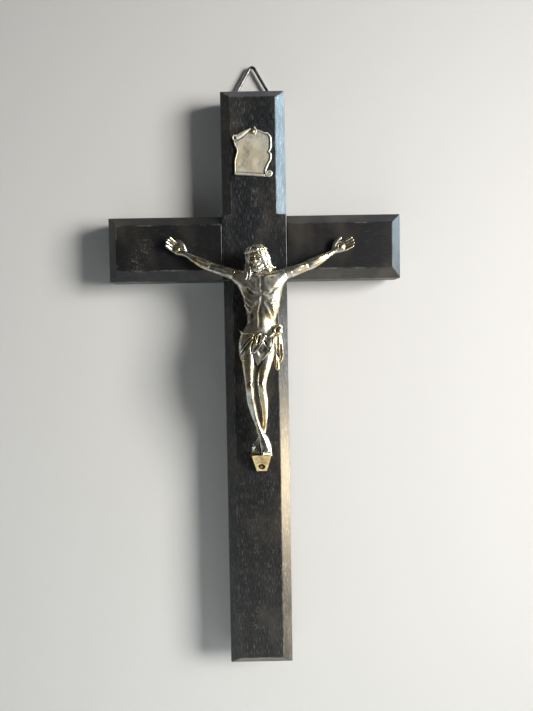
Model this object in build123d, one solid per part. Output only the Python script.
from build123d import *
import os
from math import asin, cos, pi, radians, sin, sqrt

# A wall crucifix: a lapped wooden cross, a cast figure pinned to it, a scroll plate and a hanger ring.
# Millimetres. The origin is the centre of the crossing on the back face, +Z is up, the front faces -Y.

# Wooden cross
upright_height = 300.0
upright_above_crossing = 80.0
upright_width = 33.0
crossbar_length = 151.0
crossbar_width = 33.0
cross_thickness = 16.0
lap_depth = 8.0
lap_clearance = 0.05
edge_chamfer = 5.0

# Pins that hold the figure and the scroll
pin_shank_radius = 0.8
pin_length_in_wood = 9.0
pin_clearance = 0.03
hand_pin_head_radius = 1.7
hand_pin_head_height = 1.1
foot_pin_head_radius = 1.5
foot_pin_head_height = 1.0
titulus_pin_head_radius = 1.3
titulus_pin_head_height = 1.0
pin_seat_margin = 0.2

# Figure, placed from the crossing and from the front face of the cross
figure_x = 2.4
figure_top_z = 0.0
figure_height = 105.0
shoulder_reach = 12.4
shoulder_drop = 14.7
shoulder_stand = 6.0
shoulder_radius = 2.9
tenon_radius = 1.3
tenon_length = 3.0
tenon_clearance = 0.05
hand_reach = 41.2
hand_drop = 1.2
palm_stand = 1.5
palm_seat = 2.4
arm_sag = 1.3
arm_bow = 0.6
knuckle_reach = 2.2
finger_lengths = (4.2, 4.7, 4.4, 3.6)
finger_radius = 0.8
finger_tip_radius = 0.62
finger_spacing = 1.35
finger_fan = 5.0
right_finger_rise = 40.0
left_finger_rise = 22.0
toe_radius = 0.65
toe_tip_radius = 0.6
toe_length = 4.6
toe_spacing = 0.75
toe_fan = 7.0
toe_lift = 9.0

# The figure's forms are drawn in modules, this many from the crown to the soles
module_count = 105

# Footrest bracket under the feet
footrest_across = -0.7
footrest_height = 10.2
footrest_top_width = 10.4
footrest_bottom_width = 5.5
footrest_top_depth = 9.0
footrest_bottom_depth = 1.6
footrest_lip = 0.9
footrest_pin_drop = 7.4
footrest_pin_seat = 1.5

# Scroll plate
scroll_z = 47.5
scroll_width = 18.6
scroll_height = 23.0
scroll_thickness = 0.8
scroll_waist = 1.2
scroll_shoulder_drop = 4.6
scroll_side_bow = 0.25
scroll_top_bow = 1.5
scroll_roll_radius = 0.9
scroll_roll_end_radius = 0.55
scroll_roll_inset = 0.7
scroll_rim_radius = 0.5
scroll_notch = 1.0
volute_radius = 1.9
volute_height = 1.2
scroll_pin_below_peak = 1.6

# Hanger on the back
ring_side = 25.0
ring_wire_radius = 0.8
ring_corner_radius = 1.5
ring_below_top = 2.4
ring_clearance = 0.05
strap_sheet = 0.7
strap_width = 8.0
strap_length = 11.0
screw_head_radius = 1.5
screw_head_height = 0.8
screw_shank_radius = 0.75
screw_length_in_wood = 7.0
screw_clearance = 0.03
screw_spacing = 4.2
screw_edge = 2.4

front = -cross_thickness
upright_top = upright_above_crossing
upright_bottom = upright_above_crossing - upright_height
ring_axis_y = strap_sheet + ring_clearance + ring_wire_radius
ring_axis_z = upright_top - ring_below_top
hand_pin_seat = front - palm_seat
foot_pin_seat = front - footrest_pin_seat
module = figure_height / module_count
footrest_top_z = figure_top_z - figure_height
foot_pin_z = footrest_top_z - footrest_pin_drop
hand_z = figure_top_z - hand_drop
footrest_x = figure_x + footrest_across
scroll_peak_z = scroll_z + scroll_height / 2
titulus_pin_z = scroll_peak_z - scroll_pin_below_peak
screw_heights = [ring_axis_z - strap_length + screw_edge + step * screw_spacing for step in (0, 1)]
cut_reach = 20.0
span_steps = 3


def block(x_low, x_high, y_low, y_high, z_low, z_high):
    """A box between two corners."""
    size = (x_high - x_low, y_high - y_low, z_high - z_low)
    centre = ((x_low + x_high) / 2, (y_low + y_high) / 2, (z_low + z_high) / 2)
    return Pos(*centre) * Box(*size)


def rod(x, z, y_low, y_high, radius):
    """A round rod or hole square to the wall, between two depths."""
    return Pos(x, (y_low + y_high) / 2, z) * Rot(90, 0, 0) * Cylinder(radius, y_high - y_low)


def headed_pin(head_radius, head_height, shank_radius, shank_length):
    """A pin along Z with a domed head above zero and its shank below."""
    ball_radius = (head_radius**2 + head_height**2) / (2 * head_height)
    half_turn = asin(head_radius / ball_radius) / 2
    crown = (ball_radius * sin(half_turn), head_height - ball_radius * (1 - cos(half_turn)))
    shank_end = -shank_length
    sides = Polyline(
        (0, head_height), (0, shank_end), (shank_radius, shank_end), (shank_radius, 0), (head_radius, 0)
    )
    dome = ThreePointArc((head_radius, 0), crown, (0, head_height))
    return revolve(Plane.XZ * make_face([*sides.edges(), dome]), Axis.Z)


def pin_hole(x, z):
    """The hole that a pin makes in the wood and in what it holds."""
    hole_end = front + pin_length_in_wood + pin_clearance
    return rod(x, z, front - cut_reach, hole_end, pin_shank_radius + pin_clearance)


def front_pin(x, z, seat_y, head_radius, head_height):
    """A domed pin driven in from the front, with its head on its seat."""
    shank_length = front + pin_length_in_wood - seat_y
    return Pos(x, seat_y, z) * Rot(90, 0, 0) * headed_pin(
        head_radius, head_height, pin_shank_radius, shank_length
    )


def figure_point(across, up, out):
    """A place on the figure: across and up from its crown, out from the front of the cross."""
    return Vector(figure_x + across, front - out, figure_top_z + up)


def drawn(*stations):
    """Stations of the figure drawn in modules, in millimetres."""
    return [[part * module for part in station] for station in stations]


def limb(stations, start_along=None, end_along=None):
    """Lofts through ellipses square to the line of the stations, end to end in short spans.

    A station is (across, up, out, half width, half depth). The end sections stand square to
    start_along and end_along where these are given. A long loft would swell at its ends, so each
    span takes a few sections and shares its last one with the next span.
    """
    centres = [figure_point(*station[:3]) for station in stations]
    last = len(centres) - 1
    sections = []
    for index, (centre, station) in enumerate(zip(centres, stations)):
        along = centres[min(index + 1, last)] - centres[max(index - 1, 0)]
        if index == 0 and start_along is not None:
            along = start_along
        if index == last and end_along is not None:
            along = end_along
        sideways = along.cross(Vector(0, 1, 0))
        sections.append(Plane(centre, x_dir=sideways, z_dir=along) * Ellipse(station[3], station[4]))
    starts = range(0, last, span_steps)
    return [loft(sections[start : start + span_steps + 1]) for start in starts]


def digit(root, direction, length, root_radius, tip_radius):
    """A finger or a toe: a round taper with a blunt tip, from its root along a direction."""
    blunt = tip_radius / 2
    side = ((root_radius, 0), (tip_radius, length - blunt), (blunt, length))
    profile = Polyline((0, length), (0, 0), *side, close=True)
    return Plane(root, z_dir=direction) * revolve(Plane.XZ * make_face(profile.edges()), Axis.Z)


def mass(across, up, out, half_width, half_height, half_depth, lean=0.0):
    """An egg-shaped mass drawn in modules, leaning to one side by an angle in degrees."""
    egg = scale(Sphere(module), (half_width, half_depth, half_height))
    return [Pos(figure_point(across * module, up * module, out * module)) * Rot(0, lean, 0) * egg]


def fused(forms):
    """One solid of several forms that meet or overlap."""
    return forms[0].fuse(*forms[1:])


def shoulder_station(side):
    """The station where an arm meets the trunk."""
    return (side * shoulder_reach, -shoulder_drop, shoulder_stand, shoulder_radius, shoulder_radius)


def shoulder_along(side):
    """The direction in which an arm leaves the trunk, towards its hand."""
    shoulder = figure_point(*shoulder_station(side)[:3])
    return (figure_point(side * hand_reach, -hand_drop, palm_stand) - shoulder).normalized()


def shoulder_peg(side, radius, length):
    """A round peg from the shoulder seam into the trunk: the arm's tenon, or the socket for it."""
    seam = figure_point(*shoulder_station(side)[:3])
    along = shoulder_along(side)
    return Plane(seam - along * length / 2, z_dir=along) * Cylinder(radius, length)


def behind_front():
    """The space behind the front face of the cross, which the castings are filed flat to."""
    across = crossbar_length
    return block(-across, across, front, front + cut_reach, -upright_height, upright_height)


def head_room(x, z, seat_y, head_radius):
    """The round space in front of a pin's seat, which its head stands in."""
    return rod(x, z, front - cut_reach, seat_y, head_radius + pin_seat_margin)


def chamfered_beam(half_width, z_low, z_high):
    """A beam of the cross, with the four edges of its front chamfered."""
    beam = block(-half_width, half_width, front, 0, z_low, z_high)
    return chamfer(beam.faces().sort_by(Axis.Y)[0].edges(), edge_chamfer)


def build_upright():
    """The upright: chamfered but for a square block at the crossing, and housed from the back."""
    half = upright_width / 2
    bar_half = crossbar_width / 2
    beam = chamfered_beam(half, upright_bottom, upright_top)
    beam += block(-half, half, front, 0, -bar_half, bar_half)
    beam -= block(-half, half, front + lap_depth, 0, -bar_half - lap_clearance, bar_half + lap_clearance)
    beam -= pin_hole(footrest_x, foot_pin_z)
    beam -= pin_hole(0, titulus_pin_z)
    for height in screw_heights:
        hole_radius = screw_shank_radius + screw_clearance
        beam -= rod(0, height, -screw_length_in_wood - screw_clearance, 0, hole_radius)
    return beam


def build_crossbar():
    """The crossbar: chamfered on its front, and housed from the front for the upright."""
    bar_half = crossbar_width / 2
    beam = chamfered_beam(crossbar_length / 2, -bar_half, bar_half)
    notch = upright_width / 2 + lap_clearance
    beam -= block(-notch, notch, front, front + lap_depth, -bar_half, bar_half)
    for side in (-1, 1):
        beam -= pin_hole(figure_x + side * hand_reach, hand_z)
    return beam


def build_trunk():
    """Chest, waist and hips that widen upwards to the two shoulders, with the main muscles."""
    forms = limb(
        drawn(
            (-0.6, -55.5, 7.4, 6.4, 3.8),
            (-0.6, -48.0, 7.4, 7.9, 4.7),
            (0.3, -41.5, 7.3, 7.3, 4.1),
            (0.6, -37.0, 7.2, 7.2, 3.9),
            (0.9, -31.5, 7.4, 7.8, 4.4),
            (1.0, -25.0, 7.5, 8.7, 4.9),
            (0.9, -20.5, 7.2, 9.2, 4.7),
            (0.6, -16.6, 6.9, 7.8, 3.8),
            (0.2, -13.2, 7.2, 3.6, 2.8),
        )
    )
    forms += mass(-0.4, -38.4, 8.0, 5.2, 8.0, 3.6)
    for side in (-1, 1):
        forms += mass(0.9 + side * 4.0, -21.4, 8.9, 6.4, 4.4, 3.3, side * -18)
        forms += mass(0.8 + side * 3.0, -29.8, 8.6, 4.7, 7.0, 3.2, side * -12)
        flank = drawn(
            (0.9 + side * 6.4, -33.0, 6.8, 1.3, 2.2),
            (0.9 + side * 7.4, -26.5, 6.6, 1.8, 2.8),
            (0.4 + side * 9.0, -20.8, 6.3, 1.9, 2.8),
            (side * 11.2, -17.0, 6.0, 1.4, 1.8),
        )
        shoulder = drawn((side * 4.4, -18.4, 7.2, 4.0, 3.3), (side * 9.2, -16.2, 6.5, 3.7, 3.5))
        shoulder.append(shoulder_station(side))
        forms += limb(flank) + limb(shoulder, end_along=shoulder_along(side))
    return forms


def build_head():
    """The head, leaning to one side, with hair to the shoulders and a beard."""
    neck = drawn(
        (0.4, -16.0, 7.0, 3.0, 2.8),
        (-0.2, -12.4, 7.8, 2.5, 2.5),
        (-0.9, -8.5, 8.8, 2.6, 2.7),
    )
    nose = drawn(
        (-2.1, -5.4, 13.4, 0.4, 0.4),
        (-2.0, -6.6, 13.9, 0.5, 0.5),
        (-1.9, -7.6, 14.1, 0.6, 0.5),
    )
    beard = drawn(
        (-1.0, -9.4, 11.6, 3.2, 2.4),
        (-0.5, -12.4, 11.9, 2.7, 2.2),
        (0.2, -15.6, 11.4, 1.4, 1.3),
    )
    left_fall = drawn(
        (3.0, -5.0, 8.4, 2.8, 3.4),
        (4.2, -8.6, 8.4, 2.6, 3.0),
        (5.2, -11.8, 8.0, 2.2, 2.4),
        (4.6, -15.2, 8.2, 1.1, 1.2),
    )
    right_fall = drawn(
        (-4.4, -6.0, 8.4, 2.6, 3.4),
        (-5.4, -9.6, 8.6, 2.3, 2.9),
        (-6.0, -13.4, 8.8, 1.9, 2.2),
        (-6.2, -17.4, 9.4, 0.9, 1.0),
    )
    forms = mass(-1.5, -7.2, 10.3, 3.8, 5.2, 4.0, -12) + mass(-1.1, -5.6, 8.3, 6.1, 5.6, 4.9, -12)
    for form in (neck, nose, beard, left_fall, right_fall):
        forms += limb(form)
    return forms


def build_loincloth():
    """The short cloth round the hips: its wrap, its main folds, the knot and the hanging end."""
    wrap = drawn(
        (-0.5, -42.6, 7.5, 7.6, 4.5),
        (-1.4, -46.4, 7.7, 8.5, 5.1),
        (-1.8, -50.6, 7.9, 8.5, 5.0),
    )
    hip_drape = drawn(
        (-7.4, -44.6, 7.4, 2.6, 3.6),
        (-8.4, -49.0, 7.6, 3.0, 4.4),
        (-8.9, -53.4, 7.8, 2.4, 4.0),
        (-8.9, -57.0, 7.8, 1.3, 2.8),
    )
    front_flap = drawn(
        (-1.2, -45.6, 11.4, 3.6, 1.8),
        (-0.6, -50.0, 12.0, 4.2, 1.7),
        (-0.9, -55.0, 12.2, 3.0, 1.3),
        (-1.6, -59.0, 12.0, 1.0, 0.8),
    )
    left_panel = drawn(
        (5.2, -44.6, 10.0, 2.2, 1.8),
        (4.2, -48.6, 11.4, 2.4, 1.8),
        (3.0, -52.6, 12.2, 1.8, 1.2),
    )
    belt_edge = drawn(
        (7.0, -43.6, 10.2, 0.9, 0.9),
        (4.0, -45.0, 12.0, 0.9, 0.9),
        (1.2, -44.4, 12.6, 1.0, 1.0),
    )
    tucked_end = drawn(
        (1.2, -43.8, 12.0, 1.1, 1.1),
        (0.8, -47.4, 13.4, 1.2, 1.1),
        (-1.0, -51.0, 14.0, 1.1, 1.0),
        (-3.2, -53.6, 13.6, 0.7, 0.7),
    )
    long_roll = drawn(
        (-3.4, -45.4, 12.2, 0.9, 0.9),
        (-7.0, -49.8, 12.0, 1.0, 0.9),
        (-10.2, -53.8, 9.0, 0.7, 0.7),
    )
    fan_fold = drawn(
        (-3.6, -46.4, 12.6, 1.0, 0.9),
        (-5.4, -50.4, 13.2, 1.2, 0.9),
        (-7.0, -53.6, 12.6, 0.8, 0.7),
    )
    front_hem = drawn(
        (4.8, -51.8, 12.2, 0.7, 0.7),
        (1.6, -56.0, 13.4, 0.8, 0.7),
        (-1.6, -59.2, 12.6, 0.6, 0.6),
    )
    hanging_end = drawn(
        (8.4, -43.4, 9.8, 1.5, 1.3),
        (8.4, -49.0, 9.4, 1.9, 1.2),
        (9.0, -55.0, 8.6, 1.7, 1.1),
        (8.1, -60.6, 8.0, 1.4, 1.1),
    )
    forms = mass(8.8, -42.8, 10.4, 2.1, 2.1, 2.0) + mass(7.8, -61.4, 8.2, 1.5, 2.0, 1.1)
    for form in (wrap, hip_drape, front_flap, left_panel, belt_edge):
        forms += limb(form)
    for form in (tucked_end, long_roll, fan_fold, front_hem, hanging_end):
        forms += limb(form)
    return forms


def build_toes(across, out):
    """The five toes of a foot, side by side down to the footrest."""
    toes = []
    for row in (-2, -1, 0, 1, 2):
        root = figure_point(across * module + row * toe_spacing, toe_length - figure_height, out * module)
        turn = radians(row * toe_fan)
        direction = Vector(sin(turn), -sin(radians(toe_lift)), -cos(turn))
        toes.append(digit(root, direction, toe_length, toe_radius, toe_tip_radius))
    return toes


def build_legs():
    """Both legs, bent at the knee and crossed at the ankle, and the feet one over the other."""
    right_leg = drawn(
        (-5.2, -48.0, 8.2, 4.2, 4.4),
        (-5.9, -55.5, 9.3, 3.9, 4.0),
        (-6.0, -62.5, 10.3, 3.1, 3.3),
        (-5.8, -69.0, 11.0, 2.4, 2.6),
        (-5.2, -76.5, 10.0, 2.3, 2.5),
        (-3.8, -84.5, 9.2, 1.8, 2.0),
        (-2.0, -90.6, 8.8, 1.4, 1.6),
        (-0.5, -95.2, 8.9, 1.7, 1.6),
        (0.9, -100.0, 9.2, 2.2, 1.4),
        (1.8, -106.0, 9.4, 2.5, 1.0),
    )
    left_leg = drawn(
        (4.4, -48.0, 8.0, 4.0, 4.3),
        (2.8, -55.5, 9.1, 3.6, 3.8),
        (1.1, -62.5, 10.1, 2.9, 3.2),
        (0.1, -69.2, 10.6, 2.4, 2.6),
        (0.8, -77.0, 8.8, 2.3, 2.5),
        (1.3, -84.5, 7.5, 1.7, 1.9),
        (0.8, -90.6, 6.4, 1.3, 1.4),
        (-0.6, -95.4, 5.8, 1.8, 1.5),
        (-2.0, -100.4, 5.9, 2.2, 1.3),
        (-2.9, -106.0, 6.1, 2.4, 1.0),
    )
    return limb(right_leg) + limb(left_leg) + build_toes(1.6, 9.5) + build_toes(-2.8, 6.2)


def build_figure_body():
    """The main casting: head, trunk, loincloth and legs in one piece, with a socket for each arm."""
    body = fused([*build_trunk(), *build_head(), *build_loincloth(), *build_legs()])
    across = crossbar_length
    body -= block(-across, across, front - cut_reach, front, footrest_top_z - cut_reach, footrest_top_z)
    for side in (-1, 1):
        body -= shoulder_peg(side, tenon_radius + tenon_clearance, tenon_length + tenon_clearance)
    return body


def arm_stations(side):
    """The arm's stations from the shoulder to the knuckles, with its muscles and its slight sag."""
    shoulder = shoulder_station(side)[:3]
    palm = (side * hand_reach, -hand_drop, palm_stand)
    stations = [shoulder_station(side)]
    shapes = (
        (0.20, 2.6, 2.6),
        (0.36, 2.4, 2.4),
        (0.50, 2.6, 2.5),
        (0.64, 2.3, 2.2),
        (0.76, 1.6, 1.6),
        (0.86, 1.4, 1.4),
        (0.93, 2.0, 1.5),
    )
    for share, half_width, half_depth in shapes:
        across, up, out = [a + share * (b - a) for a, b in zip(shoulder, palm)]
        swing = sin(pi * share)
        size = (half_width * module, half_depth * module)
        stations.append((across, up - arm_sag * swing, out + arm_bow * swing, *size))
    stations.append((*palm, 2.8 * module, 1.6 * module))
    knuckles = (side * (hand_reach + knuckle_reach), knuckle_reach / 2 - hand_drop, palm_stand)
    stations.append((*knuckles, 2.6 * module, 1.3 * module))
    return stations


def build_hand(side, finger_rise):
    """The four fingers, fanned from the knuckles, and the thumb beside the palm."""
    fingers = []
    rise = radians(finger_rise)
    for index, length in enumerate(finger_lengths):
        row = (len(finger_lengths) - 1) / 2 - index
        angle = rise + radians(row * finger_fan)
        across = hand_reach + knuckle_reach * cos(rise) / 2 - row * finger_spacing * sin(rise)
        up = knuckle_reach * sin(rise) / 2 + row * finger_spacing * cos(rise) - hand_drop
        direction = Vector(side * cos(angle), 0, sin(angle))
        root = figure_point(side * across, up, palm_stand)
        fingers.append(digit(root, direction, length + knuckle_reach / 2, finger_radius, finger_tip_radius))
    thumb = []
    shapes = drawn(
        (-3.4, -0.8, 0.3, 1.2),
        (-2.7, 1.9, 0.7, 1.1),
        (-1.2, 3.6, 0.9, 1.0),
        (0.2, 4.4, 0.9, 0.6),
    )
    for across, up, out, radius in shapes:
        thumb.append((side * (hand_reach + across), up - hand_drop, palm_stand + out, radius, radius))
    return fingers + limb(thumb)


def build_arm(side, finger_rise):
    """One arm with its open hand, from the tenon in the shoulder to the finger tips."""
    forms = limb(arm_stations(side), start_along=shoulder_along(side)) + build_hand(side, finger_rise)
    forms.append(shoulder_peg(side, tenon_radius, tenon_length))
    x = figure_x + side * hand_reach
    arm = fused(forms) - behind_front()
    return arm - head_room(x, hand_z, hand_pin_seat, hand_pin_head_radius) - pin_hole(x, hand_z)


def build_footrest():
    """The bracket under the feet: a wedge that narrows downwards, with a lip round its top."""
    top = footrest_top_z
    half = footrest_top_width / 2
    sizes = (
        (top, footrest_top_width, footrest_top_depth),
        (top - footrest_height, footrest_bottom_width, footrest_bottom_depth),
    )
    sections = []
    for height, width, depth in sizes:
        sections.append(Pos(footrest_x, front - depth / 2, height) * Rectangle(width, depth))
    wedge = loft(sections, ruled=True)
    lip_front = front - footrest_top_depth
    wedge += block(footrest_x - half, footrest_x + half, lip_front, front, top - footrest_lip, top)
    wedge -= head_room(footrest_x, foot_pin_z, foot_pin_seat, foot_pin_head_radius)
    return wedge - pin_hole(footrest_x, foot_pin_z)


def build_scroll():
    """The scroll plate: waisted on one side, torn on the other, a rolled corner and a volute."""
    half_width = scroll_width / 2
    bottom = scroll_z - scroll_height / 2
    shoulder = scroll_peak_z - scroll_shoulder_drop
    waist = -half_width + scroll_waist
    right = half_width - scroll_rim_radius
    middle = (bottom + shoulder) / 2
    bulge = -half_width + scroll_side_bow
    crest = (right / 2, (shoulder + scroll_peak_z) / 2 + scroll_top_bow)
    outline = [
        ThreePointArc((-half_width, shoulder), (bulge, (shoulder + middle) / 2), (waist, middle)),
        ThreePointArc((waist, middle), (bulge, (bottom + middle) / 2), (waist, bottom)),
        Line((waist, bottom), (right, bottom)),
        Line((right, bottom), (right, middle - scroll_notch)),
        Line((right, middle - scroll_notch), (right - scroll_notch, middle)),
        Line((right - scroll_notch, middle), (right, middle + scroll_notch)),
        Line((right, middle + scroll_notch), (right, shoulder)),
        ThreePointArc((right, shoulder), crest, (0, scroll_peak_z)),
        Line((0, scroll_peak_z), (-half_width, shoulder)),
    ]
    plate = Pos(0, front, 0) * extrude(Plane.XZ * make_face(outline), scroll_thickness)
    face = front - scroll_thickness
    roll_length = sqrt(half_width**2 + scroll_shoulder_drop**2) - 2 * scroll_roll_inset
    roll_middle = (-half_width / 2, face, (shoulder + scroll_peak_z) / 2)
    roll = Plane(roll_middle, z_dir=(half_width, 0, scroll_shoulder_drop)) * Cone(
        scroll_roll_radius, scroll_roll_end_radius, roll_length
    )
    rim = Pos(right, face, (bottom + shoulder) / 2) * Cylinder(scroll_rim_radius, shoulder - bottom)
    volute = rod(right, bottom, face - volute_height, front, volute_radius)
    scroll = plate.fuse(roll, rim, volute) - behind_front()
    return scroll - head_room(0, titulus_pin_z, face, titulus_pin_head_radius) - pin_hole(0, titulus_pin_z)


def build_strap():
    """The hanger strap: a strip folded round the ring's base wire, both leaves screwed to the back."""
    bore = ring_wire_radius + ring_clearance
    leaf_bottom = ring_axis_z - strap_length
    leaf_top = ring_axis_z - bore
    inner_leaf = Pos(strap_sheet / 2, (leaf_bottom + ring_axis_z) / 2) * Rectangle(
        strap_sheet, ring_axis_z - leaf_bottom
    )
    outer_leaf = Pos(1.5 * strap_sheet, (leaf_bottom + leaf_top) / 2) * Rectangle(
        strap_sheet, leaf_top - leaf_bottom
    )
    eye = Pos(ring_axis_y, ring_axis_z) * Circle(bore + strap_sheet)
    section = inner_leaf + outer_leaf + eye - Pos(ring_axis_y, ring_axis_z) * Circle(bore)
    strap = extrude(Plane.YZ * section, strap_width / 2, both=True)
    for height in screw_heights:
        strap -= rod(0, height, 0, cut_reach, screw_shank_radius + screw_clearance)
    return strap


def build_ring():
    """The triangular wire ring, standing up with its base wire in the strap."""
    half = ring_side / 2
    apex = ring_side * sqrt(3) / 2
    path = FilletPolyline((-half, 0), (half, 0), (0, apex), radius=ring_corner_radius, close=True)
    path = Pos(0, ring_axis_y, ring_axis_z) * (Plane.XZ * path)
    start = path @ 0
    section = Plane(start, z_dir=path % 0) * Circle(ring_wire_radius)
    return sweep(section, path)


def build_screws():
    """The two screws that hold the strap."""
    screws = []
    for height in screw_heights:
        screw = headed_pin(
            screw_head_radius, screw_head_height, screw_shank_radius, screw_length_in_wood + 2 * strap_sheet
        )
        screws.append(Pos(0, 2 * strap_sheet, height) * Rot(-90, 0, 0) * screw)
    return Compound(children=screws)


hand_pin = (hand_pin_seat, hand_pin_head_radius, hand_pin_head_height)
parts = {
    "upright": build_upright(),
    "crossbar": build_crossbar(),
    "figure_body": build_figure_body(),
    "figure_right_arm": build_arm(-1, right_finger_rise),
    "figure_left_arm": build_arm(1, left_finger_rise),
    "footrest": build_footrest(),
    "right_hand_pin": front_pin(figure_x - hand_reach, hand_z, *hand_pin),
    "left_hand_pin": front_pin(figure_x + hand_reach, hand_z, *hand_pin),
    "foot_pin": front_pin(
        footrest_x, foot_pin_z, foot_pin_seat, foot_pin_head_radius, foot_pin_head_height
    ),
    "titulus_scroll": build_scroll(),
    "titulus_pin": front_pin(
        0, titulus_pin_z, front - scroll_thickness, titulus_pin_head_radius, titulus_pin_head_height
    ),
    "hanger_strap": build_strap(),
    "hanger_ring": build_ring(),
    "hanger_screws": build_screws(),
}

os.makedirs("parts", exist_ok=True)
for name, solid in parts.items():
    export_step(solid, f"parts/{name}.step")
